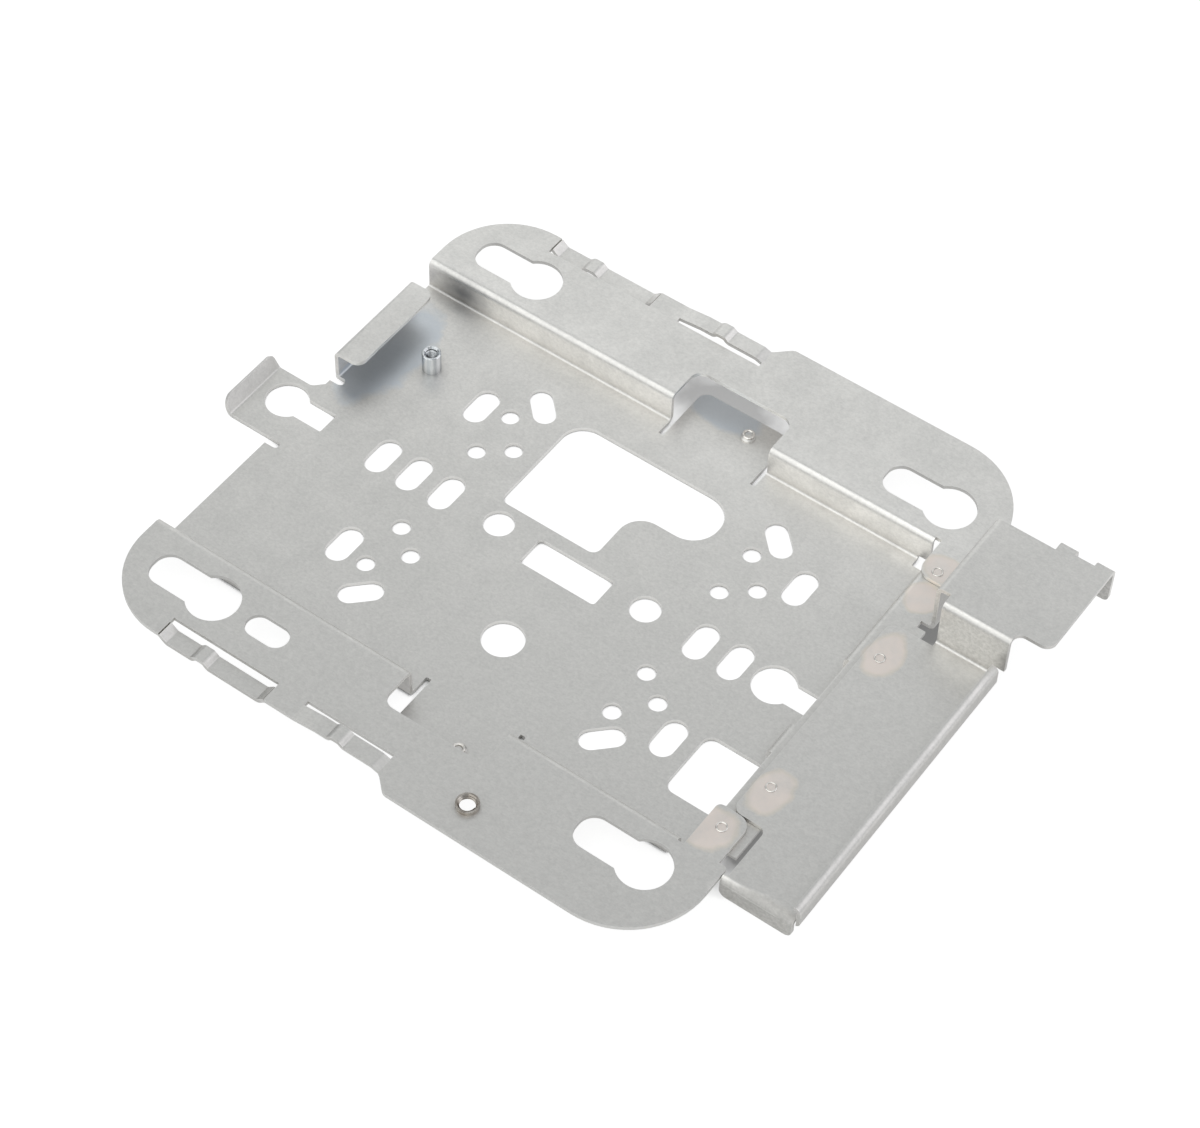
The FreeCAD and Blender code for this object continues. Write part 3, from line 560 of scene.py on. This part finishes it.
def marked_colour(tree, place, colour, finish):
    """Lays painted shade on the walls, painted bluish shade, a painted dark reflection and the
    heat tints over the colour.
    """
    # Speckled painted shade on the walls that face along Y
    wall_shade_mask = place_group(tree, "Wall shade", (-1000, 900), Vector=place).outputs["Mask"]
    [blue_shade_mask] = patch_masks(tree, BLUE_SHADES, ["Patch"], place, (-1600, -500))
    [dark] = patch_masks(tree, DARK_REFLECTIONS, ["Near"], place, (-1600, -1500))
    tint, rim = patch_masks(tree, HEAT_TINTS, ["Patch", "Rim"], place, (-1000, -500))
    cloudy = noise(tree, (-900, 1100), place, 190.0, 3.0)
    uneven = ramp(tree, (-700, 1100), cloudy, [(0.3, 0.55), (0.6, 1.0)])
    marks = [(wall_shade_mask, WALL_SHADE_SHARE, finish.wall_shade_colour),
             (blue_shade_mask, BLUE_SHADE_SHARE, finish.blue_shade_colour),
             (dark, DARK_REFLECTION_SHARE, finish.dark_reflection_colour),
             (tint, uneven, finish.heat_colour),
             (rim, HEAT_RIM_SHARE, finish.heat_rim_colour)]
    for step, (mask, strength, mark_colour) in enumerate(marks):
        share = maths(tree, "MULTIPLY", (-350, 900 - 250 * step), mask, strength)
        colour = blend_colours(tree, (-150, 900 - 250 * step), share, colour, mark_colour)
    return colour


def edged_colour(tree, place, worn, colour, finish):
    """Brightens the rubbed edges, paints a highlight on the cut edges, and paints shade into the
    folds.
    """
    colour = blend_colours(tree, (250, 400), worn, colour, finish.edge_wear_and_highlight_colour)
    # Painted highlight on the cut edges
    cut = place_group(tree, "Cut edge highlight", (250, 1000), Vector=place).outputs["Mask"]
    cut_share = maths(tree, "MULTIPLY", (400, 1000), cut, CUT_HIGHLIGHT_SHARE)
    colour = blend_colours(tree, (400, 400), cut_share, colour, finish.edge_wear_and_highlight_colour)
    # Painted shade in the folds, where ambient occlusion finds the sheet closed in
    fold_shade_mask = place_group(tree, "Fold shade", (250, 700), Reach=SHEET_FOLD_SHADE_REACH).outputs["Mask"]
    uncut = maths(tree, "SUBTRACT", (250, 850), 1.0, cut_share)
    fold_shade_share = maths(tree, "MULTIPLY", (550, 850), uncut,
                        maths(tree, "MULTIPLY", (400, 700), fold_shade_mask, SHEET_FOLD_SHADE_SHARE))
    return blend_colours(tree, (700, 400), fold_shade_share, colour, finish.fold_shade_colour)


def galvanised_sheet(finish):
    """Dull galvanised steel with rolled grain, marks, painted light and shade, bright rubbed
    edges, a painted highlight on its cut edges and painted shade in its folds.
    """
    material, tree, shader, place = new_metal("galvanised_sheet")
    grain = place_group(tree, "Rolled grain", (-1000, 300), Vector=place)
    worn = place_group(tree, "Edge wear", (-1000, -200), Vector=place, Width=0.3 * MM,
                       Strength=0.7).outputs["Mask"]
    colour = rolled_colour(tree, place, grain, finish)
    colour = marked_colour(tree, place, colour, finish)
    colour = edged_colour(tree, place, worn, colour, finish)

    smoothest, roughest = (finish.sheet_roughness + change for change in MOTTLE_ROUGHNESS)
    rough = ramp(tree, (0, 0), grain.outputs["Mottle"], [(0.0, smoothest), (1.0, roughest)])
    polish = maths(tree, "MULTIPLY", (0, -200), worn, EDGE_POLISH)
    rough = maths(tree, "SUBTRACT", (250, 0), rough, polish)
    [dull] = patch_masks(tree, DULL_SPOTS, ["Patch"], place, (-1600, -1800))
    dulled = maths(tree, "MULTIPLY", (250, -150), dull, DULL_SPOT_ROUGHNESS)
    rough = maths(tree, "ADD", (400, 0), rough, dulled)
    height = maths(tree, "ADD", (250, -400), grain.outputs["Grain"], grain.outputs["Mottle"])
    link_looks(tree, shader, colour, rough, height, 0.12, 0.06 * MM)
    return material


def turned_metal(name, colour, dark, roughness, streaks):
    """Plated turned metal with fine drawn lines, rubbed edges and painted shade in its corners.
    """
    material, tree, shader, place = new_metal(name)
    grain = place_group(tree, "Rolled grain", (-1000, 300), Vector=place, Mottle_scale=500.0)
    worn = place_group(tree, "Edge wear", (-1000, -200), Vector=place, Width=0.2 * MM,
                       Strength=0.8).outputs["Mask"]
    drawn = stretch(tree, (-1000, 0), place, (1.0, 1.0, 0.05))
    lines = ramp(tree, (-500, 0), noise(tree, (-750, 0), drawn, streaks, 2.0),
                 [(0.35, 0.0), (0.65, 1.0)])
    base = blend_colours(tree, (-250, 300), lines, dark, colour)
    base = blend_colours(tree, (0, 300), worn, base,
                         tuple(min(1.0, value * TURNED_EDGE_GAIN) for value in colour))
    # Painted shade in the corners
    fold_shade_mask = place_group(tree, "Fold shade", (0, 600), Reach=TURNED_FOLD_SHADE_REACH).outputs["Mask"]
    fold_shade_share = maths(tree, "MULTIPLY", (150, 600), fold_shade_mask, TURNED_FOLD_SHADE_SHARE)
    base = blend_colours(tree, (250, 300), fold_shade_share, base,
                         tuple(TURNED_FOLD_SHADE_DARKNESS * value for value in dark))
    rough = ramp(tree, (0, 0), grain.outputs["Mottle"],
                 [(0.0, roughness), (1.0, roughness + 0.08)])
    link_looks(tree, shader, base, rough, lines, 0.1, 0.04 * MM)
    return material


def weld_metal(finish):
    """Burnished metal of the weld rings and the button rims, made at its first use."""
    name = "weld_mark"
    if name not in bpy.data.materials:
        turned_metal(name, finish.weld_colour, (0.80, 0.77, 0.73), 0.16, 500.0)
    return bpy.data.materials[name]


def ground_seen(tree, place, gap_open):
    """How white the camera sees the ground: less in narrow gaps and in the shades."""
    [deep] = patch_masks(tree, DEEP_SHADES, ["Shade"], place, (-1600, -900))
    [light] = patch_masks(tree, LIGHT_SHADES, ["Shade"], place, (-1600, -1400))
    shade = maths(tree, "MAXIMUM", (-900, -900),
                  maths(tree, "MULTIPLY", (-1050, -900), deep, DEEP_SHADE_SHARE),
                  maths(tree, "MULTIPLY", (-1050, -1100), light, LIGHT_SHADE_SHARE))
    unshaded = maths(tree, "SUBTRACT", (-850, -600), 1.0, shade)
    return maths(tree, "MULTIPLY", (-700, -400), gap_open, unshaded)


def ground_mirrored(tree, place, gap_open):
    """How white the metal mirrors the ground: less beside the bracket, more in open holes."""
    [below] = patch_masks(tree, PAN_GROUND, ["Patch"], place, (-1600, -2000))
    hole_share = maths(tree, "MULTIPLY_ADD", (-1050, -1700), below,
                       MIRRORED_MORE_IN_PAN, MIRRORED_IN_HOLES)
    hole_open = maths(tree, "MULTIPLY", (-900, -1700), gap_open, hole_share)
    beside = add(tree, "ShaderNodeAmbientOcclusion", (-950, -650), samples=4)
    beside.inputs["Distance"].default_value = MIRRORED_REACH
    wide_open = ramp(tree, (-700, -650), beside.outputs["AO"], [(0.45, 0.03), (1.0, 0.70)])
    return maths(tree, "MAXIMUM", (-500, -400), wide_open, hole_open)


def white_ground():
    """White ground that stays white to the camera and keeps the bracket's shadow."""
    material = bpy.data.materials.new("white_ground")
    tree, output = start_tree(material, "ShaderNodeOutputMaterial", (700, 0))
    place = add(tree, "ShaderNodeTexCoord", (-1900, -900)).outputs["Object"]
    gap = add(tree, "ShaderNodeAmbientOcclusion", (-1300, -400), samples=8)
    gap.inputs["Distance"].default_value = GAP_REACH
    gap_open = ramp(tree, (-1050, -400), gap.outputs["AO"], [(0.30, 0.0), (0.52, 0.88)])

    rays = add(tree, "ShaderNodeLightPath", (-700, 0)).outputs
    seen = maths(tree, "MULTIPLY", (-350, 0), rays["Is Camera Ray"],
                 ground_seen(tree, place, gap_open))
    bounced = maths(tree, "MAXIMUM", (-500, -200), rays["Is Glossy Ray"],
                    rays["Is Transmission Ray"])
    mirrored = maths(tree, "MULTIPLY", (-350, -200), bounced,
                     ground_mirrored(tree, place, gap_open))

    glow = add(tree, "ShaderNodeEmission", (0, -100))
    glow.inputs["Color"].default_value = (1.0, 1.0, 1.0, 1.0)
    tree.links.new(maths(tree, "ADD", (-150, -100), seen, mirrored), glow.inputs["Strength"])
    lit = add(tree, "ShaderNodeBsdfDiffuse", (0, 100))
    lit.inputs["Color"].default_value = GROUND_GREY
    both = add(tree, "ShaderNodeAddShader", (350, 0))
    tree.links.new(lit.outputs[0], both.inputs[0])
    tree.links.new(glow.outputs[0], both.inputs[1])
    tree.links.new(both.outputs[0], output.inputs["Surface"])
    return material


# Modelling helpers

def dress(node_name, material):
    """Gives a CAD node its material on every slot."""
    piece = frame["nodes"][node_name]
    if not piece.data.materials:
        piece.data.materials.append(material)
    for index in range(len(piece.data.materials)):
        piece.data.materials[index] = material


def start_primitive(operator, name, **settings):
    """Adds a primitive by its operator, with nothing else selected, and names it."""
    if bpy.context.object and bpy.context.object.mode != "OBJECT":
        bpy.ops.object.mode_set(mode="OBJECT")
    bpy.ops.object.select_all(action="DESELECT")
    operator(**settings)
    piece = bpy.context.object
    piece.name = name
    piece.data.name = name
    return piece


def settle(piece, material):
    """Applies the piece's place, gives it its finish and lets it ride on the sheet's body."""
    bpy.ops.object.mode_set(mode="OBJECT")
    bpy.ops.object.select_all(action="DESELECT")
    piece.select_set(True)
    bpy.context.view_layer.objects.active = piece
    bpy.ops.object.transform_apply(location=True, rotation=True, scale=True)
    bpy.ops.object.shade_smooth_by_angle(angle=math.radians(50))
    piece.data.materials.clear()
    piece.data.materials.append(material)
    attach(piece, "root")


def wind_thread(node_name, ridge_name, sizes, material):
    """Models the thread in a piece's bore as one wound ridge of triangular section."""
    root_radius, plain_below, plain_above = THREADS[node_name]
    box_low, box_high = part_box(node_name)
    middle = (box_low + box_high) / 2
    low, high = box_low.z + plain_below, box_high.z - plain_above
    ridge = start_primitive(
        bpy.ops.mesh.primitive_circle_add, ridge_name, vertices=3,
        radius=sizes.thread_pitch * 0.5, fill_type="NOTHING",
        location=(middle.x, middle.y, low), rotation=(math.pi / 2, 0, 0))
    bpy.ops.object.transform_apply(location=False, rotation=True, scale=False)
    foot, crest = root_radius + THREAD_FOOT, root_radius - sizes.thread_depth
    section = [(foot, -THREAD_HALF_WIDTH), (crest, 0.0), (foot, THREAD_HALF_WIDTH)]
    for corner, (radius, share) in zip(ridge.data.vertices, section):
        corner.co = (radius, 0.0, share * sizes.thread_pitch)
    turns = int((high - low) / sizes.thread_pitch)
    wind = ridge.modifiers.new("Wind", "SCREW")
    wind.angle = math.tau * turns
    wind.screw_offset = sizes.thread_pitch * turns
    wind.steps = THREAD_STEPS * turns
    wind.render_steps = wind.steps
    wind.use_normal_calculate = True
    bpy.ops.object.modifier_apply(modifier=wind.name)
    bpy.ops.object.mode_set(mode="EDIT")
    bpy.ops.mesh.select_all(action="DESELECT")
    mesh = bmesh.from_edit_mesh(ridge.data)
    for edge in mesh.edges:
        edge.select = edge.is_boundary
    mesh.select_flush(True)
    bmesh.update_edit_mesh(ridge.data)
    bpy.ops.mesh.edge_face_add()
    bpy.ops.mesh.select_all(action="SELECT")
    bpy.ops.mesh.normals_make_consistent(inside=False)
    settle(ridge, material)


class BRACKET_OT_stage(bpy.types.Operator):
    """Lay the white ground, and set the soft lamps, the world and the camera"""
    bl_idname = "bracket.stage"
    bl_label = "Set the stage"

    def execute(self, context):
        scene = context.scene
        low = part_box("bracket_sheet")[0]
        ground = start_primitive(bpy.ops.mesh.primitive_plane_add, "ground", size=GROUND_SIZE,
                                 location=(0.0, 0.0, low.z - GROUND_DROP))
        bpy.ops.object.transform_apply(location=True, rotation=True, scale=True)
        ground.data.materials.append(white_ground())

        for name, place, size, power, colour in LAMPS:
            lamp = bpy.data.lights.new(name, "AREA")
            lamp.shape = "SQUARE"
            lamp.size = size
            lamp.energy = power
            lamp.color = colour
            holder = bpy.data.objects.new(name, lamp)
            holder.location = place
            holder.rotation_euler = (-Vector(place)).to_track_quat("-Z", "Y").to_euler()
            holder.visible_camera = False
            scene.collection.objects.link(holder)

        scene.world = bpy.data.worlds.new("studio")
        tree, output = start_tree(scene.world, "ShaderNodeOutputWorld", (300, 0))
        studio = add(tree, "ShaderNodeBackground", (0, 0))
        studio.inputs["Color"].default_value = STUDIO_COLOUR
        studio.inputs["Strength"].default_value = STUDIO_STRENGTH
        tree.links.new(studio.outputs[0], output.inputs["Surface"])

        lens = bpy.data.cameras.new("camera")
        lens.lens = FOCAL_LENGTH
        lens.sensor_width = SENSOR_WIDTH
        lens.sensor_fit = "HORIZONTAL"
        lens.clip_start = 0.01
        camera = bpy.data.objects.new("camera", lens)
        camera.location = CAMERA_PLACE
        camera.rotation_euler = [math.radians(angle) for angle in CAMERA_TURN]
        scene.collection.objects.link(camera)
        scene.camera = camera
        scene.view_settings.view_transform = "Standard"
        return {"FINISHED"}


class BRACKET_OT_sheet(bpy.types.Operator):
    """Give the folded sheet its galvanised finish"""
    bl_idname = "bracket.sheet"
    bl_label = "Finish the folded sheet"

    def execute(self, context):
        dress("bracket_sheet", galvanised_sheet(context.scene.bracket_finish))
        return {"FINISHED"}


class BRACKET_OT_weld_rings(bpy.types.Operator):
    """Model the ring that the electrode leaves at each spot weld"""
    bl_idname = "bracket.weld_rings"
    bl_label = "Press the weld rings"

    def execute(self, context):
        sizes = context.scene.bracket_sizes
        material = weld_metal(context.scene.bracket_finish)
        names = ["weld_ring_" + weld for weld in WELDS]
        places = [Vector(place) * MM for place in WELDS.values()]
        first = start_primitive(
            bpy.ops.mesh.primitive_torus_add, names[0], major_segments=40, minor_segments=10,
            major_radius=sizes.weld_ring_diameter / 2,
            minor_radius=sizes.weld_ring_height * WELD_RING_FLATNESS, location=places[0])
        bpy.ops.object.mode_set(mode="EDIT")
        bpy.ops.mesh.select_all(action="SELECT")
        bpy.ops.transform.resize(value=(1.0, 1.0, 1.0 / WELD_RING_FLATNESS))
        bpy.ops.object.mode_set(mode="OBJECT")
        for name, place in zip(names[1:], places[1:]):
            ring = first.copy()
            ring.data = first.data.copy()
            ring.name = ring.data.name = name
            context.scene.collection.objects.link(ring)
            ring.location = place
        for name in names:
            settle(bpy.data.objects[name], material)
        return {"FINISHED"}


class BRACKET_OT_button_rims(bpy.types.Operator):
    """Model the raised rim of the pressed button on each tongue"""
    bl_idname = "bracket.button_rims"
    bl_label = "Press the button rims"

    def execute(self, context):
        material = weld_metal(context.scene.bracket_finish)
        for button, place in BUTTONS.items():
            rim = start_primitive(
                bpy.ops.mesh.primitive_torus_add, "rim_" + button,
                major_segments=40, minor_segments=12, major_radius=BUTTON_RIM_RADIUS,
                minor_radius=BUTTON_RIM_SECTION_RADIUS, location=Vector(place) * MM)
            settle(rim, material)
        return {"FINISHED"}


class BRACKET_OT_standoff(bpy.types.Operator):
    """Finish the standoff in bright zinc and wind its thread"""
    bl_idname = "bracket.standoff"
    bl_label = "Finish the threaded standoff"

    def execute(self, context):
        colour = context.scene.bracket_finish.zinc_colour
        material = turned_metal("bright_zinc", colour, (0.50, 0.53, 0.56), 0.14, 900.0)
        dress("threaded_standoff", material)
        wind_thread("threaded_standoff", "standoff_thread_ridge", context.scene.bracket_sizes,
                    material)
        return {"FINISHED"}


class BRACKET_OT_nut(bpy.types.Operator):
    """Finish the clinch nut in dull plate and wind its thread"""
    bl_idname = "bracket.nut"
    bl_label = "Finish the clinch nut"

    def execute(self, context):
        colour = context.scene.bracket_finish.nut_colour
        material = turned_metal("plated_nut", colour, (0.40, 0.36, 0.32), 0.22, 500.0)
        dress("clinch_nut", material)
        wind_thread("clinch_nut", "nut_thread_ridge", context.scene.bracket_sizes,
                    material)
        return {"FINISHED"}


STEPS = [BRACKET_OT_stage, BRACKET_OT_sheet, BRACKET_OT_weld_rings, BRACKET_OT_button_rims,
         BRACKET_OT_standoff, BRACKET_OT_nut]


class BRACKET_PT_panel(bpy.types.Panel):
    """Sizes, finishes and steps of the bracket"""
    bl_idname = "BRACKET_PT_panel"
    bl_label = "Stamped bracket"
    bl_space_type = "VIEW_3D"
    bl_region_type = "UI"
    bl_category = "Bracket"

    def draw(self, context):
        for group in (context.scene.bracket_sizes, context.scene.bracket_finish):
            for name in group.__annotations__:
                self.layout.prop(group, name)
        for step in STEPS:
            self.layout.operator(step.bl_idname)


CLASSES = [BracketSizes, BracketFinish, *STEPS, BRACKET_PT_panel]


def register():
    for entry in CLASSES:
        bpy.utils.register_class(entry)
    bpy.types.Scene.bracket_sizes = PointerProperty(type=BracketSizes)
    bpy.types.Scene.bracket_finish = PointerProperty(type=BracketFinish)


def unregister():
    del bpy.types.Scene.bracket_finish
    del bpy.types.Scene.bracket_sizes
    for entry in reversed(CLASSES):
        bpy.utils.unregister_class(entry)


def main():
    register()
    bpy.ops.bracket.stage()
    bpy.ops.bracket.sheet()
    bpy.ops.bracket.weld_rings()
    bpy.ops.bracket.button_rims()
    bpy.ops.bracket.standoff()
    bpy.ops.bracket.nut()


if __name__ == "__main__":
    main()
